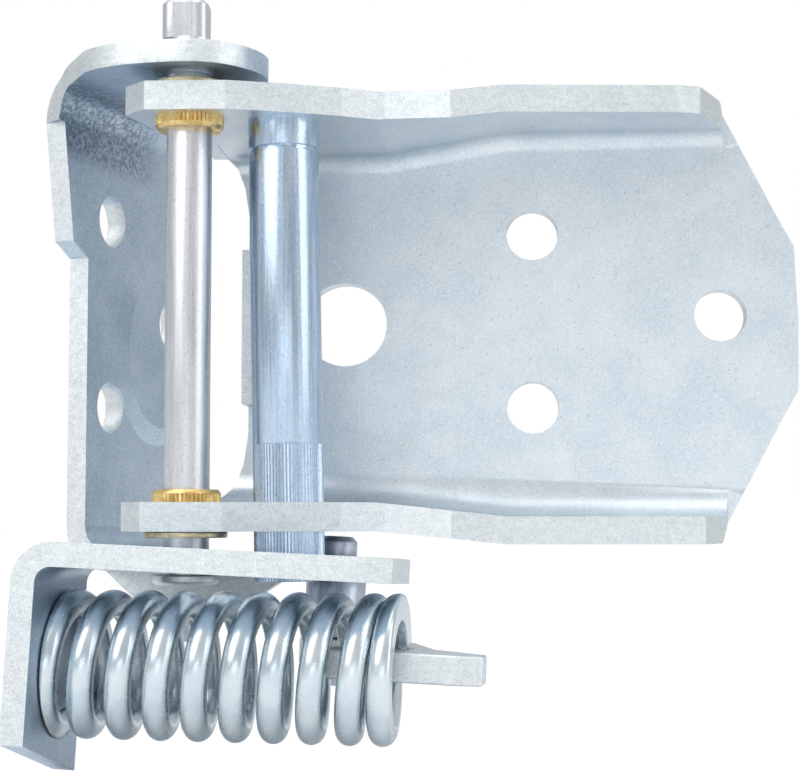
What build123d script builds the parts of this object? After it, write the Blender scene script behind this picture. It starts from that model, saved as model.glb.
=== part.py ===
from build123d import *
import math
import os

# Car door hinge with a spring door stop, in millimetres, +Z up along the hinge pin.
# The origin is the middle between the two bolt holes on the pillar leaf's mounting face,
# which is the plane X = 0. Heights named below count from hinge_z, on the hinge pin.

# Pillar leaf: sheet, holes and outline
pillar_sheet = 4.3
pillar_gap = 30.4  # pin axis to the leaf's inner face
bolt_hole_r = 5.5
pillar_hole_pitch = 39.4
pillar_holes_low = 22.5
pillar_hole_back = 24.5  # pin axis to the two bolt holes
third_hole_back = 24.8  # the two bolt holes to the third hole
leaf_front_top = 4.6  # front edge at the ear, behind the pin axis
leaf_front_high = 8.6  # front edge just above the step
leaf_front_low = 14.6  # front edge below the step
leaf_back = 66.0
step_height = 55.6
step_drop = 2.8
step_round = 1.6
ear_gap = 2.7  # room between the door leaf's upper flange and the ear
ear_right = 13.0  # pin axis to the ear's right end
ear_bend_in = 5.4
foot_bend_in = 4.6
boss_high = 38.0
boss_wide = 34.0
boss_rise = 1.2
boss_slope = 2.6
boss_back = 44.5
boss_mid = 35.5

# Foot plate, the pillar leaf's lower ear, with the leg bent down at its left end
foot_top = -6.4
foot_droop = 2.1  # degrees down towards its free end
foot_pitch = 2.5  # degrees down towards the back
stop_yaw = 11.5  # the door stop stands turned by this much from the pillar leaf
foot_front = -36.0
foot_end = 45.3
foot_end_back = -13.0
leg_inner = -16.0
leg_back = -8.0
leg_low_front = -40.9
leg_low_back = -49.3
leg_bend_in = 2.8
web_high = 14.0
web_left = -21.5
web_right = 17.0
web_tip = -3.5
web_back = 16.2
web_thick = 3.0

# Hinge pin and its retainer
pin_r = 4.365
pin_over_ear = 2.7  # round shank above the ear
pin_head_high = 7.9
pin_head_across = 8.9
pin_head_deep = 7.6
pin_head_turn = 19.0
pin_head_off = -0.8  # the squeezed head stands a little off the pin's axis
pin_fit = 0.03
retainer_r = 6.4
retainer_thick = 1.9
retainer_gap = 0.6

# Door leaf
door_sheet = 5.5
door_yaw = 16.5  # turned by this much from square to the pillar leaf
door_low = -3.1
door_high = 81.9
joggle_low = 2.7
joggle_high = 4.4
joggle_start = 36.0
joggle_end = 61.0
joggle_bend = 14.0
plate_front = 39.5  # pin axis to the plate's near face
plate_end = 122.2  # pin axis to the plate's far end
plate_over = 8.0  # stock past the far end, cut away
flange_bend_in = 3.4
flange_bend_low = 6.2  # the lower flange's softer bend
front_round = 30.0  # bends along the flanges' front edge
door_hole_near = 66.5
door_hole_far = 106.0
door_hole_mid = 41.1
door_hole_end = 42.0  # height of the far hole
door_hole_half = 18.45
access_hole_r = 8.9
access_hole_at = 26.6
access_hole_z = 40.5
tab_left = 5.9
tab_low = 23.0
tab_high = 55.3
tab_reach = 10.0

# Brass bushings and washers
bush_wall = 1.5
bush_flange_r = 6.55
bush_flange_high = 2.4
bush_knurl_pitch = 0.86
bush_knurl_deep = 0.35
upper_washer_r = 7.35
lower_washer_r = 7.85
washer_thick = 1.1
washer_play = 0.1

# Detent shaft, pressed through both flanges of the door leaf
shaft_r = 6.775
shaft_at = 19.2
shaft_back = 3.6
shaft_lean = 1.2
shaft_below = 1.9  # how far the shaft reaches below the foot plate, clear of the spring
shaft_knurl_high = 13.5
shaft_knurl_pitch = 0.66
shaft_knurl_deep = 0.22
groove_z = 70.9
groove_wide = 0.9
swing_room = 1.0  # room round the shaft's path in the foot plate
swing_open = 68.0  # degrees towards the open door
swing_shut = 5.0

# Door stop: lever, pivot and spring
pivot_at = 26.1
pivot_back = 19.1
pivot_r = 3.2
pivot_head_r = 3.8
pivot_head_high = 4.0
sleeve_r = 5.9
lever_top = -22.4
lever_sheet = 5.2
lever_boss_r = 6.6
lever_waist = 34.0  # inner edge of the lever beside the shaft's path
lever_outer = 43.0
tongue_half = 5.5
tongue_end = 60.0
tongue_tip = 32.0  # how far the tongue reaches into the spring
clip_r = 5.4
clip_thick = 1.4
clearance = 0.3
pivot_fit = 0.12
spring_r = 13.3
wire_r = 2.4
spring_back = -17.6
spring_z = -28.0  # height of the spring's axis at the leg
spring_lift = 1.7  # degrees up towards the lever, from the foot plate
spring_pitch = 6.9
spring_end = 45.0

# Places that follow from the sizes above
pin_x = pillar_sheet + pillar_gap
pin_y = -pillar_hole_back
hinge_z = -(pillar_holes_low + pillar_hole_pitch / 2)
hinge = Plane(origin=(pin_x, pin_y, hinge_z))
door = hinge.rotated((0, 0, door_yaw))
stop = hinge.rotated((0, 0, stop_yaw)).rotated((0, foot_droop, 0)).rotated((-foot_pitch, 0, 0))
ear_under = door_high + ear_gap
leaf_in = -pillar_gap
leaf_out = leaf_in - pillar_sheet
foot_under = foot_top - pillar_sheet
shaft_low = foot_under - shaft_below
pin_head_low = ear_under + pillar_sheet + pin_over_ear
pin_top = pin_head_low + pin_head_high
foot_slope = math.tan(math.radians(foot_droop))
foot_fall = math.tan(math.radians(foot_pitch))
foot_mid = (leaf_front_low + leaf_back - 16) / 2  # middle of the leaf's foot, behind the pin
foot_rise = -leaf_in * foot_slope - foot_mid * foot_fall  # foot plate's height at the leaf
lever_low = lever_top - lever_sheet
shaft_orbit = math.hypot(shaft_at, shaft_back)
shaft_angle = math.degrees(math.atan2(shaft_back, shaft_at)) + door_yaw


def seat(plane, along, back, height=0.0):
    """The same directions at another place, given in the plane's own measures."""
    spot = plane.from_local_coords(Vector(along, back, height))
    return Plane(origin=spot, x_dir=plane.x_dir, z_dir=plane.z_dir)


def facing(plane, back=0.0):
    """A drawing plane seen from the front, X along and Y up."""
    return Plane(origin=seat(plane, 0, back).origin, x_dir=plane.x_dir, z_dir=-plane.y_dir)


def end_on(plane, along=0.0):
    """A drawing plane seen along the plate, X to the back and Y up."""
    return Plane(origin=seat(plane, along, 0).origin, x_dir=plane.y_dir, z_dir=plane.x_dir)


def on_circle(radius, degrees):
    """A point on a circle round the pin."""
    turn = math.radians(degrees)
    return (radius * math.cos(turn), radius * math.sin(turn))


def knurl(radius, pitch, deep):
    """The toothed outline of a straight knurl."""
    count = round(2 * math.pi * radius / pitch)
    teeth = [on_circle(radius - deep * (i % 2), i * 180 / count) for i in range(2 * count)]
    Polyline(*teeth, close=True)


shaft_seat = seat(door, shaft_at, shaft_back).rotated((0, -shaft_lean, 0))
pivot_seat = seat(stop, pivot_at, pivot_back)

def at_step(corner):
    """True for the two corners of the step in the leaf's front edge."""
    height = corner.Z - hinge_z
    return step_height - step_drop - 1 < height < step_height + 1


# Outlines that the pillar leaf's walls keep: ear and foot from above, leaf from the side
with BuildPart() as leaf_outline:
    with BuildSketch(hinge.offset(ear_under - ear_bend_in)):
        with BuildLine():
            Polyline(
                (-17.6, -10.0),
                (leaf_in + 0.6, leaf_front_top - 2.6),
                (leaf_out, leaf_front_top),
                (leaf_out, leaf_back - 9),
                (4.0, 22.0),
                (ear_right, 8.0),
            )
            Spline(
                (ear_right, 8.0),
                (ear_right - 0.6, -3.4),
                (7.2, -10.1),
                (-1.0, -12.4),
                (-9.0, -12.8),
                (-17.6, -10.0),
            )
        make_face()
    extrude(amount=ear_bend_in + pillar_sheet)
    with BuildSketch(end_on(hinge, leaf_out)):
        with BuildLine():
            Polyline(
                (leaf_front_top, ear_under - ear_bend_in),
                (leaf_front_high, step_height),
                (leaf_front_low, step_height - step_drop),
                (leaf_front_low, foot_top + foot_rise + foot_bend_in),
                (leaf_back - 16, foot_top + foot_rise + foot_bend_in),
                (leaf_back, foot_top + foot_bend_in + 14),
                (leaf_back, ear_under - 15),
                (leaf_back - 9, ear_under - ear_bend_in),
                close=True,
            )
        make_face()
        fillet(vertices().filter_by(at_step), radius=step_round)
    extrude(amount=pillar_sheet)
    with BuildSketch(hinge.offset(foot_top + foot_rise + foot_bend_in)):
        with Locations((leaf_out, leaf_front_low)):
            Rectangle(
                foot_bend_in + pillar_sheet + 2,
                leaf_back - 16 - leaf_front_low,
                align=(Align.MIN, Align.MIN),
            )
    extrude(amount=-(foot_bend_in + pillar_sheet + 2))

with BuildPart() as pillar_leaf:
    with BuildSketch(facing(hinge, -60)):
        with BuildLine():
            inner_path = FilletPolyline(
                (ear_right + 4, ear_under),
                (leaf_in, ear_under),
                (leaf_in, foot_top + foot_rise),
                (0, foot_top + foot_rise + leaf_in * foot_slope),
                radius=(ear_bend_in, foot_bend_in),
            )
            outer_path = FilletPolyline(
                (ear_right + 4, ear_under + pillar_sheet),
                (leaf_out, ear_under + pillar_sheet),
                (leaf_out, foot_under + foot_rise),
                (0, foot_under + foot_rise + leaf_in * foot_slope),
                radius=(ear_bend_in + pillar_sheet, foot_bend_in + pillar_sheet),
            )
            Line(inner_path @ 0, outer_path @ 0)
            Line(inner_path @ 1, outer_path @ 1)
        make_face()
    extrude(amount=-(60 + leaf_back + 20))
    add(leaf_outline.part, mode=Mode.INTERSECT)
    # foot plate seen from above, with the arc slot that the detent shaft swings in
    with BuildSketch(stop.offset(foot_top)):
        with BuildLine():
            Polyline(
                (leg_inner + leg_bend_in, foot_front),
                (foot_end - 4.2, foot_front),
                (foot_end, foot_front + 2.5),
                (foot_end, foot_end_back),
                (pivot_at + 9, pivot_back - 8),
                (pivot_at + 9, pivot_back + 6),
                (pivot_at + 3, pivot_back + 10),
                (-2.0, pivot_back + 12),
                (-17.5, pivot_back + 27),
                (-23.5, pivot_back - 4),
                (-15.0, 8.0),
                (leg_inner + leg_bend_in, leg_back),
                close=True,
            )
        make_face()
    extrude(amount=-pillar_sheet)
    with BuildSketch(hinge.offset(foot_top + 3)):
        with BuildLine(mode=Mode.PRIVATE):
            path = CenterArc((0, 0), shaft_orbit, shaft_angle - swing_open, swing_open + swing_shut)
        SlotArc(path, 2 * (shaft_r + swing_room))
    extrude(amount=-(pillar_sheet + 7), mode=Mode.SUBTRACT)
    # leg bent down from the foot plate's left end, where the spring sits
    with BuildSketch(facing(stop, foot_front)):
        with BuildLine():
            leg_start = leg_inner + leg_bend_in
            inner_leg = FilletPolyline(
                (leg_start, foot_under),
                (leg_inner, foot_under),
                (leg_inner, leg_low_back),
                radius=leg_bend_in * 0.98,
            )
            outer_leg = FilletPolyline(
                (leg_start, foot_top),
                (leg_inner - pillar_sheet, foot_top),
                (leg_inner - pillar_sheet, leg_low_back),
                radius=leg_bend_in * 0.98 + pillar_sheet,
            )
            Line(inner_leg @ 0, outer_leg @ 0)
            Line(inner_leg @ 1, outer_leg @ 1)
        make_face()
    extrude(amount=-(leg_back - foot_front))
    # slanted lower edge of the leg
    with BuildSketch(end_on(stop, leg_inner - 2 * pillar_sheet)):
        with BuildLine():
            Polyline(
                (foot_front - 1, leg_low_front),
                (leg_back + 1, leg_low_back + 1),
                (leg_back + 1, leg_low_back - 5),
                (foot_front - 1, leg_low_back - 5),
                close=True,
            )
        make_face()
    extrude(amount=4 * pillar_sheet, mode=Mode.SUBTRACT)
    # web under the foot plate, left of the pin
    with BuildSketch(facing(stop, web_back)):
        with BuildLine():
            Polyline(
                (web_left, foot_under + 1),
                (web_left, foot_under),
                (web_tip - 1, foot_under - web_high),
                (web_tip + 1, foot_under - web_high),
                (web_right, foot_under),
                (web_right, foot_under + 1),
                close=True,
            )
        make_face()
    extrude(amount=-web_thick)
    # pressed oval boss on the leaf's inner face
    boss_seat = seat(hinge, 0, boss_back, boss_mid)
    with BuildSketch(end_on(boss_seat, leaf_in - 0.4)):
        Ellipse(boss_wide / 2 + boss_slope, boss_high / 2 + boss_slope)
    with BuildSketch(end_on(boss_seat, leaf_in + boss_rise)):
        Ellipse(boss_wide / 2 - boss_slope, boss_high / 2 - boss_slope)
    loft()
    # bolt holes, pin holes and the pivot's hole
    low_hole = (pillar_hole_back, pillar_holes_low)
    high_hole = (pillar_hole_back, pillar_holes_low + pillar_hole_pitch)
    third_hole = (pillar_hole_back + third_hole_back, pillar_holes_low + pillar_hole_pitch / 2)
    with BuildSketch(end_on(hinge, leaf_out - 1)):
        with Locations(low_hole, high_hole, third_hole):
            Circle(bolt_hole_r)
    extrude(amount=pillar_sheet + boss_rise + 2, mode=Mode.SUBTRACT)
    with BuildSketch(hinge.offset(foot_under - 3)):
        Circle(pin_r + pin_fit)
    extrude(amount=ear_under + pillar_sheet + 20, mode=Mode.SUBTRACT)
    with BuildSketch(pivot_seat.offset(foot_under - 1)):
        Circle(pivot_r + pin_fit)
    extrude(amount=pillar_sheet + 2, mode=Mode.SUBTRACT)

# Hinge pin: straight shank, squeezed square at the top so that it can't turn or drop
with BuildPart() as hinge_pin:
    pin_low = foot_under - retainer_gap - retainer_thick
    with BuildSketch(hinge.offset(pin_low)):
        Circle(pin_r)
    extrude(amount=pin_head_low - pin_low)
    with BuildSketch(seat(hinge, pin_head_off, 0, pin_head_low).rotated((0, 0, pin_head_turn))):
        RectangleRounded(pin_head_across, pin_head_deep, 2.2)
    extrude(amount=pin_top - pin_head_low)
    chamfer(faces().sort_by(Axis.Z)[-1].edges(), length=1.1)
    chamfer(faces().sort_by(Axis.Z)[0].edges(), length=0.5)

# Round retainer pressed on the pin's lower end
with BuildPart() as pin_retainer:
    with BuildSketch(hinge.offset(foot_under - retainer_gap)):
        Circle(retainer_r)
        Circle(pin_r, mode=Mode.SUBTRACT)
    extrude(amount=-retainer_thick)
    chamfer(faces().sort_by(Axis.Z)[0].outer_wire().edges(), length=0.6)

# Door leaf: plate and two flanges with a joggle, cut from one C section
joggle_side = [
    (-13.0, door_low, door_high),
    (joggle_start, door_low, door_high),
    (joggle_end, door_low - joggle_low, door_high + joggle_high),
    (plate_end + plate_over, door_low - joggle_low, door_high + joggle_high),
]


def channel_points(inset):
    """Corners of the channel seen from the front, inset by the sheet where asked."""
    lower = [(along, low + inset) for along, low, high in joggle_side]
    upper = [(along, high - inset) for along, low, high in reversed(joggle_side)]
    return lower + upper


def at_joggle(corner):
    """True for the corners where the flanges step outwards."""
    along = (Vector(*corner) - door.origin).dot(door.x_dir)
    return joggle_start - 1 < along < joggle_end + 1


def on_front_edge(corner):
    """True for the blunt corners along the flanges' front edge."""
    place = Vector(*corner) - door.origin
    return 15 < place.dot(door.x_dir) < 70 and place.dot(door.y_dir) < 18


def runs_along(edge, back):
    """True for the channel's long edges at this distance behind the pin."""
    level = abs((edge @ 0.5 - door.origin).dot(door.y_dir) - back) < 0.01
    return level and abs(edge.tangent_at(0.5).dot(door.x_dir)) > 0.8


def is_upper(edge):
    """True for edges of the upper flange."""
    return (edge @ 0.5).Z > hinge_z + door_hole_mid


with BuildPart() as door_room:
    with BuildSketch(facing(door, -14)):
        with BuildLine():
            Polyline(*channel_points(door_sheet), close=True)
        make_face()
        fillet(vertices().filter_by(at_joggle), radius=joggle_bend)
    extrude(amount=-(14 + plate_front))
    inner_bends = edges().filter_by(lambda e: runs_along(e, plate_front))
    fillet(inner_bends.filter_by(is_upper), radius=flange_bend_in)
    inner_bends = edges().filter_by(lambda e: runs_along(e, plate_front))
    fillet(inner_bends.filter_by(lambda e: not is_upper(e)), radius=flange_bend_low)

with BuildPart() as door_leaf:
    with BuildSketch(facing(door, -14)):
        with BuildLine():
            Polyline(*channel_points(0), close=True)
        make_face()
        fillet(vertices().filter_by(at_joggle), radius=joggle_bend)
    extrude(amount=-(14 + plate_front + door_sheet))
    outer_bends = edges().filter_by(lambda e: runs_along(e, plate_front + door_sheet))
    fillet(outer_bends.filter_by(is_upper), radius=flange_bend_in + door_sheet)
    outer_bends = edges().filter_by(lambda e: runs_along(e, plate_front + door_sheet))
    low_bends = outer_bends.filter_by(lambda e: not is_upper(e))
    fillet(low_bends, radius=flange_bend_low + door_sheet)
    add(door_room.part, mode=Mode.SUBTRACT)
    # outline from above, shared by both flanges
    with BuildSketch(door.offset(door_low - 10)):
        with BuildLine():
            Polyline(
                (-11.8, -3.6),
                (-7.2, -8.5),
                (8.2, -8.2),
                (19.5, -4.7),
                (29.5, -0.7),
                (37.6, 3.6),
                (50.0, 12.3),
                (62.0, 16.4),
                (plate_end - 26.7, 19.0),
                (plate_end - 22.0, 20.5),
                (plate_end - 16.8, plate_front - 7),
                (plate_end - 15.2, plate_front),
                (plate_end + plate_over, plate_front - 2),
                (plate_end + plate_over, plate_front + door_sheet + 1),
                (-2.6, plate_front + door_sheet + 1),
                (-2.6, 30.0),
                (-9.0, 8.0),
                close=True,
            )
        make_face()
        fillet(vertices().filter_by(on_front_edge), radius=front_round)
    extrude(amount=door_high - door_low + 30, mode=Mode.INTERSECT)
    # plate outline from the front: slanted corners at the free end, arched notch by the pin
    with BuildSketch(facing(door, plate_front + door_sheet + 5)):
        with BuildLine():
            Polyline(
                (plate_end - 18.0, door_low - joggle_low - 1),
                (plate_end - 3.4, 20.5),
                (plate_end - 0.2, 26.0),
                (plate_end, 41.0),
                (plate_end - 0.7, 56.5),
                (plate_end - 3.3, 61.2),
                (plate_end - 16.6, door_high + joggle_high + 1),
                (plate_end + 2 * plate_over, door_high + joggle_high + 1),
                (plate_end + 2 * plate_over, door_low - joggle_low - 1),
                close=True,
            )
        make_face()
        with BuildLine():
            Polyline(
                (-20.0, 3.5),
                (0.5, 3.5),
                (3.2, 6.0),
                (5.0, 11.0),
                (tab_left, 17.0),
                (tab_left, 64.0),
                (5.0, 70.0),
                (3.2, 74.8),
                (0.5, 77.4),
                (-20.0, 77.4),
                close=True,
            )
        make_face()
    extrude(amount=plate_front - 19.5 + door_sheet + 5 - 5, mode=Mode.SUBTRACT)
    # middle stop tab, bent forwards from the plate's edge
    with BuildSketch(seat(door, tab_left, plate_front - tab_reach, tab_low)):
        Rectangle(door_sheet, tab_reach + door_sheet, align=(Align.MIN, Align.MIN))
    extrude(amount=tab_high - tab_low)
    # three bolt holes and the access hole through the plate
    with BuildSketch(facing(door, plate_front + door_sheet + 1)):
        with Locations(
            (door_hole_near, door_hole_mid - door_hole_half),
            (door_hole_near, door_hole_mid + door_hole_half),
            (door_hole_far, door_hole_end),
        ):
            Circle(bolt_hole_r)
        with Locations((access_hole_at, access_hole_z)):
            Circle(access_hole_r)
    extrude(amount=door_sheet + 2, mode=Mode.SUBTRACT)
    # bushing holes on the pin's axis and the shaft's holes
    with BuildSketch(hinge.offset(door_low - 5)):
        Circle(pin_r + bush_wall)
    extrude(amount=door_high - door_low + 10, mode=Mode.SUBTRACT)
    with BuildSketch(shaft_seat.offset(door_low - 5)):
        Circle(shaft_r)
    extrude(amount=door_high - door_low + 10, mode=Mode.SUBTRACT)


def bushing(part_plane, flange_to, body_to):
    """A flanged bushing: body in the knuckle, knurled flange inside the channel."""
    with BuildPart() as bush:
        with BuildSketch(part_plane):
            Circle(pin_r + bush_wall)
        extrude(amount=body_to)
        with BuildSketch(part_plane):
            with BuildLine():
                knurl(bush_flange_r, bush_knurl_pitch, bush_knurl_deep)
            make_face()
        extrude(amount=flange_to * 0.68)
        with BuildSketch(part_plane.offset(flange_to * 0.68)):
            Circle(bush_flange_r)
        extrude(amount=flange_to * 0.32, taper=32)
        with BuildSketch(part_plane.offset(min(flange_to, body_to) - 1)):
            Circle(pin_r + pin_fit)
        extrude(amount=abs(flange_to) + abs(body_to) + 2, mode=Mode.SUBTRACT)
    return bush


upper_bushing = bushing(hinge.offset(door_high - door_sheet), -bush_flange_high, door_sheet)
lower_bushing = bushing(hinge.offset(door_low + door_sheet), bush_flange_high, -door_sheet)


def washer(radius, height):
    """A plain brass thrust washer on the pin."""
    with BuildPart() as ring:
        with BuildSketch(hinge.offset(height)):
            Circle(radius)
            Circle(pin_r + pin_fit, mode=Mode.SUBTRACT)
        extrude(amount=washer_thick)
    return ring


upper_washer = washer(upper_washer_r, door_high + washer_play)
lower_washer = washer(lower_washer_r, door_low - washer_play - washer_thick)

# Detent shaft: knurled at its lower end, with a groove under the upper flange
with BuildPart() as detent_shaft:
    with BuildSketch(shaft_seat.offset(shaft_knurl_high)):
        Circle(shaft_r)
    extrude(amount=door_high - shaft_knurl_high)
    with BuildSketch(shaft_seat.offset(shaft_low)):
        with BuildLine():
            knurl(shaft_r, shaft_knurl_pitch, shaft_knurl_deep)
        make_face()
    extrude(amount=shaft_knurl_high - shaft_low)
    with BuildSketch(shaft_seat.offset(groove_z)):
        Circle(shaft_r + 1)
        Circle(shaft_r - 0.5, mode=Mode.SUBTRACT)
    extrude(amount=-groove_wide, mode=Mode.SUBTRACT)

# Pivot pin of the lever, headed above the foot plate
with BuildPart() as lever_pivot:
    pivot_low = lever_low - clip_thick - 2.5
    with BuildSketch(pivot_seat.offset(pivot_low)):
        Circle(pivot_r)
    extrude(amount=foot_top - pivot_low)
    with BuildSketch(pivot_seat.offset(foot_top)):
        Circle(pivot_head_r)
    extrude(amount=pivot_head_high)
    chamfer(faces().sort_by(Axis.Z)[-1].edges(), length=1.0)

# Spacer sleeve on the pivot between the foot plate and the lever
sleeve_top = foot_under - clearance
with BuildPart() as pivot_sleeve:
    with BuildSketch(pivot_seat.offset(lever_top + clearance)):
        Circle(sleeve_r)
        Circle(pivot_r + pin_fit, mode=Mode.SUBTRACT)
    extrude(amount=sleeve_top - lever_top - clearance)

# Retaining ring under the lever
with BuildPart() as pivot_clip:
    with BuildSketch(pivot_seat.offset(lever_low - clearance)):
        Circle(clip_r)
        Circle(pivot_r, mode=Mode.SUBTRACT)
        with Locations((clip_r, 0)):
            Rectangle(clip_r, 2.4, mode=Mode.SUBTRACT)
    extrude(amount=-clip_thick)

# Detent lever: flat plate from the pivot round the spring's end, its tongue inside the spring
with BuildPart() as detent_lever:
    with BuildSketch(pivot_seat.offset(lever_low)):
        Circle(lever_boss_r)
        with BuildLine():
            reach = spring_back - pivot_back
            Polyline(
                (-4.0, 8.0),
                (6.0, 7.6),
                (lever_outer - pivot_at, -2.0),
                (spring_end - pivot_at + 5, reach + 12),
                (tongue_end - pivot_at - 3, reach + tongue_half),
                (tongue_end - pivot_at, reach + 3),
                (tongue_end - pivot_at, reach - 3),
                (tongue_end - pivot_at - 4.5, reach - tongue_half),
                (tongue_tip - pivot_at, reach - tongue_half),
                (tongue_tip - pivot_at, reach + tongue_half),
                (spring_end + clearance - pivot_at, reach + tongue_half),
                (spring_end + clearance - pivot_at, reach + spring_r + 1.5),
                (lever_waist - pivot_at, -16.0),
                (4.0, -8.4),
                close=True,
            )
        make_face()
        Circle(pivot_r + pivot_fit, mode=Mode.SUBTRACT)
    extrude(amount=lever_sheet)

# Coil spring, left-hand wound, with ground ends, from the leg to the lever's shoulder
with BuildPart() as coil_spring:
    start = leg_inner - 0.02
    lift = math.tan(math.radians(spring_lift))
    spring_way = stop.rotated((0, -spring_lift, 0)).x_dir
    spring_axis = Plane(
        origin=seat(stop, start - spring_pitch, spring_back, spring_z - spring_pitch * lift).origin,
        x_dir=stop.y_dir,
        z_dir=stop.x_dir,
    )
    turns_long = spring_end - start + 2 * spring_pitch
    with BuildLine():
        coil = Helix(
            pitch=spring_pitch,
            height=turns_long,
            radius=spring_r - wire_r,
            center=spring_axis.origin,
            direction=spring_way,
            lefthand=True,
        )
    with BuildSketch(Plane(origin=coil @ 0, z_dir=coil % 0)):
        Circle(wire_r)
    sweep(path=coil, is_frenet=True)
    with BuildSketch(spring_axis.offset(spring_pitch + spring_end - start)):
        Rectangle(3 * spring_r, 3 * spring_r)
    extrude(amount=3 * spring_pitch, mode=Mode.SUBTRACT)
    with BuildSketch(spring_axis.offset(spring_pitch + 0.02)):
        Rectangle(3 * spring_r, 3 * spring_r)
    extrude(amount=-3 * spring_pitch, mode=Mode.SUBTRACT)

# Every piece under its own name
os.makedirs("parts", exist_ok=True)
pieces = {
    "pillar_leaf": pillar_leaf,
    "hinge_pin": hinge_pin,
    "pin_retainer": pin_retainer,
    "door_leaf": door_leaf,
    "upper_bushing": upper_bushing,
    "lower_bushing": lower_bushing,
    "upper_washer": upper_washer,
    "lower_washer": lower_washer,
    "detent_shaft": detent_shaft,
    "lever_pivot": lever_pivot,
    "pivot_sleeve": pivot_sleeve,
    "pivot_clip": pivot_clip,
    "detent_lever": detent_lever,
    "coil_spring": coil_spring,
}
for name, piece in pieces.items():
    piece.part.label = name
    export_step(piece.part, f"parts/{name}.step")
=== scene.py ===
import math

import bmesh
import bpy
from mathutils import Matrix, Vector

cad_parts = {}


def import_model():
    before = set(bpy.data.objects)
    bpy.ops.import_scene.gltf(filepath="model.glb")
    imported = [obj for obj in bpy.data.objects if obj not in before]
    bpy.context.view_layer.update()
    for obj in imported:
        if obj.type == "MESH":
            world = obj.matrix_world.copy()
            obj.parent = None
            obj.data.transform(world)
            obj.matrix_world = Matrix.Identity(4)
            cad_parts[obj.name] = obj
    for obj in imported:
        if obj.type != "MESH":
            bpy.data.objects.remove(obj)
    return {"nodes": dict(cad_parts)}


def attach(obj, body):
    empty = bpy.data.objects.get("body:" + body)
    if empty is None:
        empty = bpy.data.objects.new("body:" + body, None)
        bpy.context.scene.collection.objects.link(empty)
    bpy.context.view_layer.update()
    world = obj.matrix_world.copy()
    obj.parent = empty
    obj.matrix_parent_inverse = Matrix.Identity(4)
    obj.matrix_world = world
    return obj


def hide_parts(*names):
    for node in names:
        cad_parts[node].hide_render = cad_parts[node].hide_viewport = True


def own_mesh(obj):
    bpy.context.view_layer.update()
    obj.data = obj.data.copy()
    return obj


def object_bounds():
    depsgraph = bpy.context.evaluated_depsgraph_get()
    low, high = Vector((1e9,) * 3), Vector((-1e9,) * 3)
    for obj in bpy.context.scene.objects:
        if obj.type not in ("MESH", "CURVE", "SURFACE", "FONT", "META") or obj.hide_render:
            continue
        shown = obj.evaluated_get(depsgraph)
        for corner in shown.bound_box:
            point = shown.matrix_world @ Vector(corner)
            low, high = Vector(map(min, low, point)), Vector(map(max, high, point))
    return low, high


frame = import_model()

cad_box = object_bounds()

# Pillar leaf: one thick stamping with a rolled ear at the top and a foot plate below, whose
# left end turns down as a leg. It is pressed from hot rolled sheet and zinc plated, so its
# faces are smooth and bluish and its sheared edges are whiter and torn. Its faces are painted
# darker than the same sheet on the door leaf, as painted shade on the leaf's inner side.
MM = 0.001
hinge_x = 34.7 * MM
hinge_y = -24.5 * MM
hinge_z = -42.2 * MM


def turned(degrees):
    """Along and backwards directions of a plate that is turned about the pin."""
    a = math.radians(degrees)
    along = Vector((math.cos(a), math.sin(a), 0))
    back = Vector((-math.sin(a), math.cos(a), 0))
    return along, back


def new_material(name):
    """An empty node tree with a metal shader in it."""
    mat = bpy.data.materials.new(name)
    mat.use_nodes = True
    tree = mat.node_tree
    tree.nodes.clear()
    out = tree.nodes.new("ShaderNodeOutputMaterial")
    metal = tree.nodes.new("ShaderNodeBsdfPrincipled")
    metal.inputs["Metallic"].default_value = 1.0
    tree.links.new(metal.outputs["BSDF"], out.inputs["Surface"])
    return mat, tree, metal


def spot(tree, scale, stretch=(1, 1, 1)):
    """The piece's own coordinates in metres, stretched along the grain."""
    place = tree.nodes.new("ShaderNodeTexCoord")
    grain = tree.nodes.new("ShaderNodeMapping")
    grain.inputs["Scale"].default_value = tuple(scale * s for s in stretch)
    tree.links.new(place.outputs["Object"], grain.inputs["Vector"])
    return grain.outputs["Vector"]


def noise(tree, scale, detail=3.0, rough=0.55, stretch=(1, 1, 1)):
    """One layer of fractal noise, its scale in cells per metre."""
    n = tree.nodes.new("ShaderNodeTexNoise")
    n.inputs["Scale"].default_value = 1.0
    n.inputs["Detail"].default_value = detail
    n.inputs["Roughness"].default_value = rough
    tree.links.new(spot(tree, scale, stretch), n.inputs["Vector"])
    return n.outputs["Fac"]


def ramp(tree, value, low, high, a=0.0, b=1.0):
    """A value stretched from the range low..high to a..b, smoothly."""
    m = tree.nodes.new("ShaderNodeMapRange")
    m.interpolation_type = "SMOOTHSTEP"
    m.inputs["From Min"].default_value = low
    m.inputs["From Max"].default_value = high
    m.inputs["To Min"].default_value = a
    m.inputs["To Max"].default_value = b
    tree.links.new(value, m.inputs["Value"])
    return m.outputs["Result"]


def blend(tree, share, first, second):
    """Two colours mixed by a share; either may be a colour or a socket."""
    mix = tree.nodes.new("ShaderNodeMix")
    mix.data_type = "RGBA"
    for key, value in (("A", first), ("B", second)):
        socket = next(s for s in mix.inputs if s.name == key and s.type == "RGBA")
        if isinstance(value, tuple):
            socket.default_value = (*value, 1.0)
        else:
            tree.links.new(value, socket)
    tree.links.new(share, mix.inputs["Factor"])
    return next(s for s in mix.outputs if s.type == "RGBA")


def maths(tree, kind, a, b):
    """One arithmetic step between sockets or numbers."""
    m = tree.nodes.new("ShaderNodeMath")
    m.operation = kind
    for i, value in enumerate((a, b)):
        if isinstance(value, (int, float)):
            m.inputs[i].default_value = value
        else:
            tree.links.new(value, m.inputs[i])
    return m.outputs["Value"]


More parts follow.
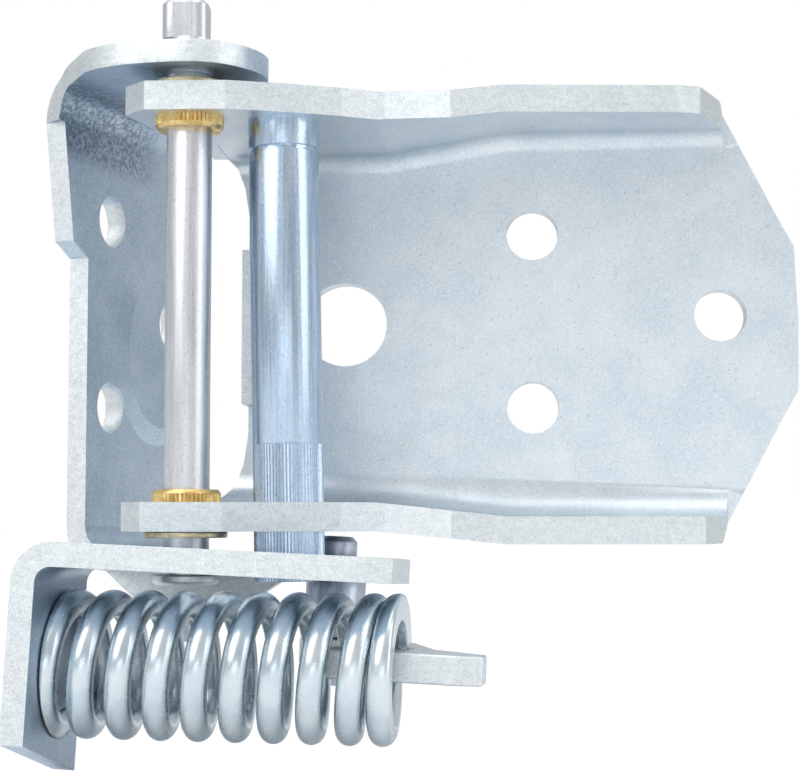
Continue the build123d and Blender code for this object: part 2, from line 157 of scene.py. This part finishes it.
def facing_share(tree, direction, low, high, either_way=True):
    """How far the surface faces along a direction, from 0 to 1."""
    place = tree.nodes.new("ShaderNodeTexCoord")
    dot = tree.nodes.new("ShaderNodeVectorMath")
    dot.operation = "DOT_PRODUCT"
    dot.inputs[1].default_value = direction
    tree.links.new(place.outputs["Normal"], dot.inputs[0])
    size = dot.outputs["Value"]
    if either_way:
        size = maths(tree, "ABSOLUTE", size, 0.0)
    return ramp(tree, size, low, high)


def before(tree, direction, limit, soft=0.6 * MM):
    """1 where the surface lies short of a limit along a direction, else 0."""
    place = tree.nodes.new("ShaderNodeTexCoord")
    dot = tree.nodes.new("ShaderNodeVectorMath")
    dot.operation = "DOT_PRODUCT"
    dot.inputs[1].default_value = direction
    tree.links.new(place.outputs["Object"], dot.inputs[0])
    return ramp(tree, dot.outputs["Value"], limit - soft, limit + soft, 1.0, 0.0)


def bump(tree, metal, layers):
    """Heights in metres, added one on another, for the shader's normal."""
    normal = None
    for height, depth in layers:
        b = tree.nodes.new("ShaderNodeBump")
        b.inputs["Strength"].default_value = 1.0
        b.inputs["Distance"].default_value = depth
        tree.links.new(height, b.inputs["Height"])
        if normal is not None:
            tree.links.new(normal, b.inputs["Normal"])
        normal = b.outputs["Normal"]
    tree.links.new(normal, metal.inputs["Normal"])


def plated_sheet(
    name, edge_share_of, tint=(0.74, 0.79, 0.82), shade=(0.65, 0.715, 0.765), shade_and_grit=None
):
    """Zinc plated sheet: satin blue-grey faces with a fine grain, and paler sheared edges."""
    mat, tree, metal = new_material(name)
    clouds = noise(tree, 70, 6.0, 0.7)
    patches = noise(tree, 190, 4.0, 0.65)
    grain = noise(tree, 2400, 3.0, 0.75)
    rolled = noise(tree, 1300, 3.0, 0.6, (1.0, 1.0, 0.08))
    face = blend(tree, ramp(tree, clouds, 0.32, 0.68), shade, tint)
    face = blend(tree, ramp(tree, patches, 0.54, 0.76, 0.0, 0.30), face, (0.74, 0.765, 0.75))
    face = blend(tree, ramp(tree, grain, 0.50, 0.66, 0.0, 0.60), face, (0.90, 0.92, 0.94))
    face = blend(tree, ramp(tree, grain, 0.30, 0.46, 0.40, 0.0), face, (0.46, 0.53, 0.60))
    specks = noise(tree, 1700, 2.0, 0.65)
    pits = ramp(tree, specks, 0.635, 0.70)
    face = blend(tree, maths(tree, "MULTIPLY", pits, 0.45), face, (0.30, 0.35, 0.40))
    # Optional mask that darkens the faces towards a deep blue: painted shade, with grit in it.
    if shade_and_grit is not None:
        face = blend(tree, maths(tree, "MULTIPLY", shade_and_grit(tree), 0.75), face, (0.13, 0.17, 0.23))
    edge = edge_share_of(tree)
    torn = noise(tree, 900, 3.0, 0.7, (0.6, 0.6, 1.0))
    torn_fine = noise(tree, 2700, 2.0, 0.75)
    lit = blend(tree, ramp(tree, torn, 0.34, 0.66), (0.68, 0.72, 0.735), (0.78, 0.815, 0.82))
    lit = blend(tree, ramp(tree, torn_fine, 0.52, 0.62, 0.0, 0.55), lit, (0.92, 0.94, 0.95))
    lit = blend(tree, ramp(tree, torn_fine, 0.34, 0.45, 0.30, 0.0), lit, (0.40, 0.44, 0.47))
    tree.links.new(blend(tree, edge, face, lit), metal.inputs["Base Color"])
    smooth = ramp(tree, patches, 0.25, 0.75, 0.36, 0.46)
    rough = maths(tree, "ADD", smooth, maths(tree, "MULTIPLY", edge, 0.08))
    tree.links.new(rough, metal.inputs["Roughness"])
    rugged = maths(tree, "MULTIPLY", torn_fine, edge)
    bump(tree, metal, [(rolled, 0.022 * MM), (grain, 0.022 * MM), (rugged, 0.05 * MM)])
    return mat


def dress(node, mat, bevel=0.35, angle=35):
    """Put a finish on a piece and break its sharp edges."""
    obj = frame["nodes"][node]
    obj.data.materials.clear()
    obj.data.materials.append(mat)
    weld = obj.modifiers.new("weld", "WELD")
    weld.merge_threshold = 0.002 * MM
    flat = obj.modifiers.new("flat faces", "DECIMATE")
    flat.decimate_type = "DISSOLVE"
    flat.angle_limit = math.radians(0.5)
    if bevel:
        edge = obj.modifiers.new("broken edges", "BEVEL")
        edge.width = bevel * MM
        edge.segments = 3
        edge.limit_method = "ANGLE"
        edge.angle_limit = math.radians(angle)
        edge.use_clamp_overlap = True
        edge.harden_normals = True


stop_yaw = 11.5
door_yaw = 16.5
stop_along = turned(stop_yaw)[0]
door_along, door_back = turned(door_yaw)


def pillar_edges(tree):
    """Front edges of the leaf, ear, foot plate and leg, the slanting ones too."""
    fronts = facing_share(tree, (0.0, 1.0, 0.0), 0.45, 0.7)
    slants = facing_share(tree, (0.64, 0.77, 0.0), 0.8, 0.93)
    ear_end = facing_share(tree, (0.64, -0.77, 0.0), 0.8, 0.93)
    foot_reach = 40 * MM
    foot_limit = hinge_x * stop_along.x + hinge_y * stop_along.y + foot_reach
    past_foot = maths(tree, "SUBTRACT", 1.0, before(tree, tuple(stop_along), foot_limit))
    foot_end = maths(tree, "MULTIPLY", past_foot, facing_share(tree, tuple(stop_along), 0.9, 0.97))
    ends = maths(tree, "MAXIMUM", ear_end, foot_end)
    return maths(tree, "MAXIMUM", fronts, maths(tree, "MAXIMUM", slants, ends))


def under_ear_shade_and_grit(tree):
    """Painted shade with grit: the dark rough band on the leaf's inner side where the ear is bent
    over, on the faces turned down under it.
    """
    band_low = hinge_z + 73 * MM
    upper = ramp(tree, before(tree, (0, 0, -1), -band_low, 4 * MM), 0.0, 1.0)
    front = before(tree, (0, 1, 0), hinge_y + 40 * MM, 8 * MM)
    inner = before(tree, (1, 0, 0), hinge_x - 20 * MM, 4 * MM)
    grit = ramp(tree, noise(tree, 900, 4.0, 0.75), 0.36, 0.60)
    inside = facing_share(tree, (0.7071, 0.0, -0.7071), 0.1, 0.4, either_way=False)
    patch = maths(tree, "MULTIPLY", maths(tree, "MULTIPLY", front, inner), inside)
    return maths(tree, "MULTIPLY", maths(tree, "MULTIPLY", upper, grit), patch)


# The pillar leaf's face colours are painted darker than the door leaf's sheet: painted shade on
# its inner side.
pillar_zinc_shaded = plated_sheet(
    "pillar_zinc_shaded", pillar_edges, (0.54, 0.645, 0.745), (0.42, 0.53, 0.65), under_ear_shade_and_grit
)
dress("pillar_leaf", pillar_zinc_shaded, bevel=0.45)

# Door leaf: a channel pressed from the same sheet, with a joggle in both flanges, three bolt
# holes, an access hole and a stop tab bent forwards behind the detent shaft.


def door_edges(tree):
    """Front edges of both flanges and of the tab, and the plate's far end."""
    flange_deep = 36 * MM
    plate_face = hinge_x * door_back.x + hinge_y * door_back.y + flange_deep
    fronts = facing_share(tree, tuple(door_back), 0.35, 0.6)
    ahead = before(tree, tuple(door_back), plate_face)
    ends = facing_share(tree, tuple(door_along), 0.35, 0.6)
    return maths(tree, "MAXIMUM", maths(tree, "MULTIPLY", fronts, ahead), ends)


door_zinc = plated_sheet("door_zinc", door_edges)
dress("door_leaf", door_zinc, bevel=0.5)

# Hinge pin: drawn bright rod with fine lengthwise streaks, its head squeezed square at the
# top. A pressed retainer holds it below the foot plate.


def drawn_rod(name, tint, shade, rough=(0.30, 0.42)):
    """Satin rod with faint streaks along its length and small pits."""
    mat, tree, metal = new_material(name)
    streaks = noise(tree, 1300, 4.0, 0.7, (1.0, 1.0, 0.04))
    clouds = noise(tree, 170, 4.0, 0.65, (1.0, 1.0, 0.45))
    fine = noise(tree, 2600, 2.0, 0.7, (1.0, 1.0, 0.6))
    color = blend(tree, ramp(tree, streaks, 0.30, 0.70), shade, tint)
    color = blend(tree, ramp(tree, clouds, 0.48, 0.76, 0.0, 0.35), color, (0.62, 0.62, 0.62))
    color = blend(tree, ramp(tree, fine, 0.56, 0.70, 0.0, 0.40), color, (0.90, 0.91, 0.92))
    color = blend(tree, ramp(tree, fine, 0.30, 0.42, 0.45, 0.0), color, (0.34, 0.36, 0.40))
    tree.links.new(color, metal.inputs["Base Color"])
    tree.links.new(ramp(tree, streaks, 0.3, 0.7, *rough), metal.inputs["Roughness"])
    bump(tree, metal, [(streaks, 0.010 * MM), (fine, 0.016 * MM)])
    return mat


pin_steel = drawn_rod("pin_steel", (0.75, 0.755, 0.77), (0.64, 0.645, 0.665), (0.32, 0.42))
dress("hinge_pin", pin_steel, bevel=0.3)
dress("pin_retainer", pin_steel, bevel=0.2)

# Brass bushings and washers: each knuckle has a flanged bushing with a knurled rim inside the
# channel and a thin thrust washer outside it.


def worn_brass(name, tint, shade):
    """Brass that is bright on its high spots and brown in the grooves."""
    mat, tree, metal = new_material(name)
    tarnish = noise(tree, 420, 4.0, 0.65)
    fine = noise(tree, 2800, 2.0, 0.6)
    color = blend(tree, ramp(tree, tarnish, 0.35, 0.66), shade, tint)
    color = blend(tree, ramp(tree, fine, 0.6, 0.75, 0.0, 0.4), color, (0.34, 0.24, 0.10))
    tree.links.new(color, metal.inputs["Base Color"])
    tree.links.new(ramp(tree, tarnish, 0.3, 0.7, 0.42, 0.26), metal.inputs["Roughness"])
    bump(tree, metal, [(fine, 0.02 * MM)])
    return mat


bush_brass = worn_brass("bush_brass", (0.86, 0.65, 0.31), (0.62, 0.42, 0.15))
washer_brass = worn_brass("washer_brass", (0.74, 0.64, 0.42), (0.46, 0.38, 0.24))
for node in ("upper_bushing", "lower_bushing"):
    dress(node, bush_brass, bevel=0.06, angle=50)
for node in ("upper_washer", "lower_washer"):
    dress(node, washer_brass, bevel=0.15)

# Detent shaft: thick ground rod pressed through both flanges, knurled at its lower end.
shaft_steel = drawn_rod("shaft_steel", (0.56, 0.67, 0.79), (0.43, 0.55, 0.70), (0.22, 0.30))
dress("detent_shaft", shaft_steel, bevel=0.08, angle=50)

# Pivot of the door stop: headed pin through the foot plate, spacer sleeve and ring.
sleeve_steel = drawn_rod("sleeve_steel", (0.58, 0.61, 0.68), (0.46, 0.49, 0.57))
for node in ("lever_pivot", "pivot_sleeve", "pivot_clip"):
    dress(node, sleeve_steel, bevel=0.15)

# Detent lever: flat plate of the same sheet, cut to shape, that swings on the pivot and
# pushes its tongue into the spring's end.


def lever_edges(tree):
    """All round the lever's cut outline."""
    flat = facing_share(tree, (0.0, 0.0, 1.0), 0.4, 0.7)
    return maths(tree, "SUBTRACT", 1.0, flat)


lever_zinc = plated_sheet("lever_zinc", lever_edges, (0.74, 0.78, 0.79), (0.64, 0.69, 0.72))
dress("detent_lever", lever_zinc, bevel=0.5)

# Coil spring: left-hand wound wire with closed ground ends, between the leg and the lever's
# shoulder.
spring_left = -16.0
spring_right = 45.0
spring_back = -17.6
spring_height = -28.0
spring_lift = 1.7
coil_radius = 10.9
wire_radius = 2.4
foot_droop = math.radians(2.1)
foot_pitch = math.radians(2.5)
first_strand = -15.9
last_strand = 43.3
strand_turns = 9
end_turn = 0.45
wire_sides = 28
steps_per_turn = 64

stop_frame = (
    Matrix.Translation((hinge_x, hinge_y, hinge_z))
    @ Matrix.Rotation(math.radians(stop_yaw), 4, "Z")
    @ Matrix.Rotation(foot_droop, 4, "Y")
    @ Matrix.Rotation(-foot_pitch, 4, "X")
)


def turn_pitch(turn):
    """Relative distance between strands at a turn: smaller at both closed ends."""
    def rise(t):
        t = min(max(t, 0.0), 1.0)
        return t * t * (3 - 2 * t)
    return (0.95 + 0.05 * rise(turn)) * (0.5 + 0.5 * rise(strand_turns - turn))


steps = int((strand_turns + 2 * end_turn) * steps_per_turn)
turns = [-end_turn + i / steps_per_turn for i in range(steps + 1)]
travel = [0.0]
for a, b in zip(turns, turns[1:]):
    travel.append(travel[-1] + turn_pitch((a + b) / 2) * (b - a))


def travel_at(turn):
    """Travel at a whole turn, by its step."""
    return travel[round((turn + end_turn) * steps_per_turn)]


stretch = (last_strand - first_strand) / (travel_at(strand_turns) - travel_at(0))
spring_mesh = bmesh.new()
rings = []
for turn, way in zip(turns, travel):
    along = first_strand + (way - travel_at(0)) * stretch
    angle = 2 * math.pi * turn
    outward = Vector((0, -math.cos(angle), math.sin(angle)))
    height = spring_height + (along - spring_left) * math.tan(math.radians(spring_lift))
    centre = Vector((along, spring_back, height)) + outward * coil_radius
    round_way = Vector((0, math.sin(angle), math.cos(angle))) * (2 * math.pi * coil_radius)
    tangent = (round_way + Vector((turn_pitch(turn) * stretch, 0, 0))).normalized()
    side = tangent.cross(outward).normalized()
    ring = []
    for k in range(wire_sides):
        w = 2 * math.pi * k / wire_sides
        p = centre + (outward * math.cos(w) + side * math.sin(w)) * wire_radius
        p.x = min(max(p.x, spring_left + 0.02), spring_right)
        ring.append(spring_mesh.verts.new(stop_frame @ (p * MM)))
    rings.append(ring)
for a, b in zip(rings, rings[1:]):
    for k in range(wire_sides):
        j = (k + 1) % wire_sides
        spring_mesh.faces.new((a[k], a[j], b[j], b[k]))
spring_mesh.faces.new(list(reversed(rings[0])))
spring_mesh.faces.new(rings[-1])
bmesh.ops.recalc_face_normals(spring_mesh, faces=spring_mesh.faces)
spring_data = bpy.data.meshes.new("spring_coil")
spring_mesh.to_mesh(spring_data)
spring_mesh.free()
spring = bpy.data.objects.new("spring_coil", spring_data)
bpy.context.scene.collection.objects.link(spring)
for face in spring_data.polygons:
    face.use_smooth = True


def plated_wire():
    """Zinc plated spring wire: smooth, with pale clouds and faint draw lines."""
    mat, tree, metal = new_material("spring_zinc")
    clouds = noise(tree, 160, 4.0, 0.6)
    grain = noise(tree, 2300, 3.0, 0.65)
    color = blend(tree, ramp(tree, clouds, 0.34, 0.66), (0.64, 0.73, 0.78), (0.76, 0.81, 0.84))
    color = blend(tree, ramp(tree, grain, 0.60, 0.76, 0.0, 0.35), color, (0.34, 0.38, 0.43))
    tree.links.new(color, metal.inputs["Base Color"])
    tree.links.new(ramp(tree, clouds, 0.3, 0.7, 0.23, 0.30), metal.inputs["Roughness"])
    bump(tree, metal, [(grain, 0.014 * MM)])
    return mat


spring_data.materials.append(plated_wire())
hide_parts("coil_spring")
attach(spring, "pillar")
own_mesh(spring)

# Studio: a pale floor and a white sweep of background, large soft lamps to the left, right and
# above, and the camera at the photograph's height, looking slightly up.
floor_drop = 1.2 * MM
floor_z = cad_box[0][2] - floor_drop
floor_data = bpy.data.meshes.new("floor")
half = 3.0
floor_data.from_pydata(
    [(x * half, y * half, floor_z) for x, y in ((-1, -1), (1, -1), (1, 1), (-1, 1))],
    [],
    [(0, 1, 2, 3)],
)
floor = bpy.data.objects.new("floor", floor_data)
bpy.context.scene.collection.objects.link(floor)
floor_mat = bpy.data.materials.new("floor_white")
floor_mat.use_nodes = True
tree = floor_mat.node_tree
tree.nodes.clear()
floor_out = tree.nodes.new("ShaderNodeOutputMaterial")
matt = tree.nodes.new("ShaderNodeBsdfDiffuse")
matt.inputs["Color"].default_value = (0.86, 0.87, 0.88, 1)
glow = tree.nodes.new("ShaderNodeEmission")
glow.inputs["Color"].default_value = (1, 1, 1, 1)
glow.inputs["Strength"].default_value = 1.06
rays = tree.nodes.new("ShaderNodeLightPath")
share = maths(tree, "MULTIPLY", rays.outputs["Is Camera Ray"], 0.93)
floor_mix = tree.nodes.new("ShaderNodeMixShader")
tree.links.new(share, floor_mix.inputs["Fac"])
tree.links.new(matt.outputs["BSDF"], floor_mix.inputs[1])
tree.links.new(glow.outputs["Emission"], floor_mix.inputs[2])
tree.links.new(floor_mix.outputs["Shader"], floor_out.inputs["Surface"])
floor_data.materials.append(floor_mat)

world = bpy.data.worlds.new("studio")
bpy.context.scene.world = world
world.use_nodes = True
tree = world.node_tree
tree.nodes.clear()
world_out = tree.nodes.new("ShaderNodeOutputWorld")
room = tree.nodes.new("ShaderNodeBackground")
sky = tree.nodes.new("ShaderNodeBackground")
sky.inputs["Color"].default_value = (1, 1, 1, 1)
sky.inputs["Strength"].default_value = 1.0
direction = tree.nodes.new("ShaderNodeTexCoord")
split = tree.nodes.new("ShaderNodeSeparateXYZ")
tree.links.new(direction.outputs["Generated"], split.inputs["Vector"])
height = ramp(tree, split.outputs["Z"], -0.25, 0.9)
tree.links.new(
    blend(tree, height, (0.62, 0.65, 0.68), (0.86, 0.88, 0.90)), room.inputs["Color"]
)
room.inputs["Strength"].default_value = 0.80
rays = tree.nodes.new("ShaderNodeLightPath")
world_mix = tree.nodes.new("ShaderNodeMixShader")
tree.links.new(rays.outputs["Is Camera Ray"], world_mix.inputs["Fac"])
tree.links.new(room.outputs["Background"], world_mix.inputs[1])
tree.links.new(sky.outputs["Background"], world_mix.inputs[2])
tree.links.new(world_mix.outputs["Shader"], world_out.inputs["Surface"])

aim = Vector((0.060, 0.0, 0.0))


def lamp(name, azimuth, elevation, distance, size, power, color=(1, 1, 1)):
    """A square soft lamp that looks at the hinge from a direction."""
    data = bpy.data.lights.new(name, "AREA")
    data.shape = "RECTANGLE"
    data.size, data.size_y = size
    data.energy = power
    data.color = color
    obj = bpy.data.objects.new(name, data)
    a, e = math.radians(azimuth), math.radians(elevation)
    away = Vector((math.sin(a) * math.cos(e), -math.cos(a) * math.cos(e), math.sin(e)))
    obj.location = aim + away * distance
    obj.rotation_euler = (-away).to_track_quat("-Z", "Y").to_euler()
    bpy.context.scene.collection.objects.link(obj)


lamp("key_left", -22, 38, 0.9, (0.7, 0.9), 3.4)
lamp("side_right", 88, 22, 1.0, (0.5, 1.0), 2.2, (0.97, 0.985, 1.0))
lamp("top", 20, 82, 0.9, (0.9, 0.6), 2.6)
lamp("low_front", 24, -4, 1.3, (0.9, 0.35), 1.4, (0.93, 0.97, 1.0))

# Camera: it stands 334 mm in front of the pin and 41 mm to its right, level with the foot of
# the pin, and looks up a little.
photo_turn = 20.0
photo_tilt = 4.15
camera_right = 40.66
camera_front = 333.8
focal_px = 1750.0
photo_width = 800.0
sensor = 36.0
view_along, view_back = turned(photo_turn)
camera_data = bpy.data.cameras.new("camera")
camera_data.sensor_width = sensor
camera_data.lens = focal_px * sensor / photo_width
camera_data.clip_start = 0.01
camera = bpy.data.objects.new("camera", camera_data)
camera.location = (
    Vector((hinge_x, hinge_y, hinge_z))
    + (view_along * camera_right - view_back * camera_front) * MM
)
camera.rotation_euler = (math.radians(90 + photo_tilt), 0, math.radians(photo_turn))
bpy.context.scene.collection.objects.link(camera)
bpy.context.scene.camera = camera
bpy.context.scene.view_settings.view_transform = "Standard"
